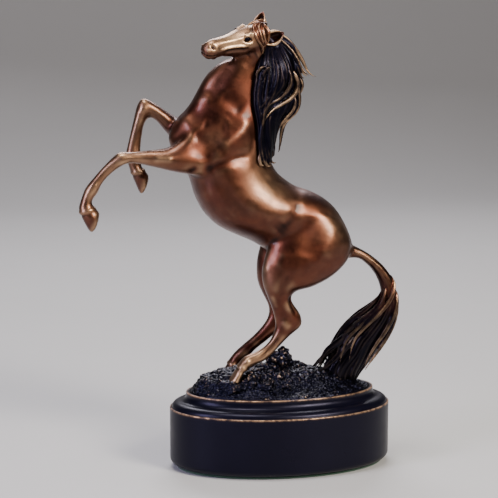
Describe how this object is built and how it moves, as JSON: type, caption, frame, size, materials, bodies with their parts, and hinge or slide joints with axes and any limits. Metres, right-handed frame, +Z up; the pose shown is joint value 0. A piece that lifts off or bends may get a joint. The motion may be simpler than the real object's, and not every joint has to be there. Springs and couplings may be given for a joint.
{
  "type": "horse statuette",
  "caption": "Bronze statuette of a rearing horse on rocky ground, with flowing mane and tail, on an oval black plinth with stepped mouldings.",
  "frame": {"origin": "centre of the felt pad's flat underside, where the plinth stands on the table", "axes": "+Z up; the horse faces -X along the plinth's long axis; its near (left) side faces -Y"},
  "size_m": [0.206, 0.09, 0.2864],
  "materials": {
    "bronze": "satin red-brown bronze patina, rubbed to gold on high points",
    "dark_bronze": "near-black patina with gold-rubbed edges",
    "ground_bronze": "rough near-black patina with gold-rubbed rock edges",
    "black_lacquer": "black satin lacquer, worn to gold along the moulding edges",
    "felt": "dark green felt",
    "steel": "plain steel",
    "brass": "plain brass"
  },
  "bodies": {
    "root": {"torso_casting": "bronze", "neck_and_head_casting": "bronze", "near_foreleg_casting": "bronze", "far_foreleg_casting": "bronze", "near_hind_leg_casting": "bronze", "far_hind_leg_casting": "bronze", "mane_casting": "dark_bronze", "tail_casting": "dark_bronze", "ground_casting": "ground_bronze", "plinth": "black_lacquer", "felt_pad": "felt", "neck_dowel_1": "steel", "neck_dowel_2": "steel", "near_foreleg_pin": "steel", "far_foreleg_pin": "steel", "near_hind_leg_pin": "steel", "far_hind_leg_pin": "steel", "near_hoof_pin": "steel", "far_hoof_pin": "steel", "tail_foot_pin": "steel", "tail_dock_pin": "steel", "mane_pin_1": "steel", "mane_pin_2": "steel", "base_screw_1": "steel", "base_screw_2": "steel", "base_screw_3": "steel", "screw_washer_1": "steel", "screw_washer_2": "steel", "screw_washer_3": "steel", "threaded_insert_1": "brass", "threaded_insert_2": "brass", "threaded_insert_3": "brass"}
  },
  "joints": []
}
